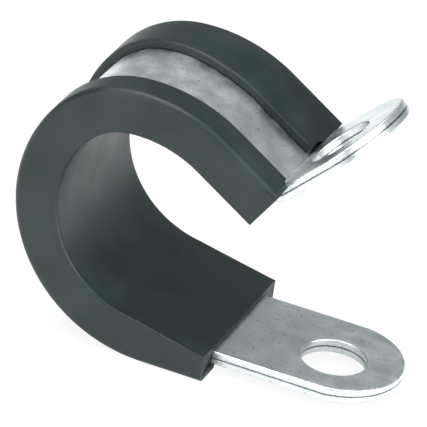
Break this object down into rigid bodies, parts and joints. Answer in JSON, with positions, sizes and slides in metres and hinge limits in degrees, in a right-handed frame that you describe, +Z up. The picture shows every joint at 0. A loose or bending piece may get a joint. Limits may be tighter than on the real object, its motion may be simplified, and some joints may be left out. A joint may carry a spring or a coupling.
{
  "type": "rubber-lined P clip",
  "caption": "Rubber-lined P clip: a folded zinc-plated steel strip in a channel of black rubber, with a round ear and screw hole at each end.",
  "frame": {"origin": "on the axis of the cable seat, at the middle of the liner's width", "axes": "+Y along the cable, +X toward the lower ear, +Z up from the lower ear toward the loop"},
  "size_m": [0.0378, 0.018, 0.0293],
  "materials": {
    "zinc_steel": "satin",
    "rubber": "satin"
  },
  "bodies": {
    "root": {"steel_band": "zinc_steel", "rubber_liner": "rubber"}
  },
  "joints": []
}
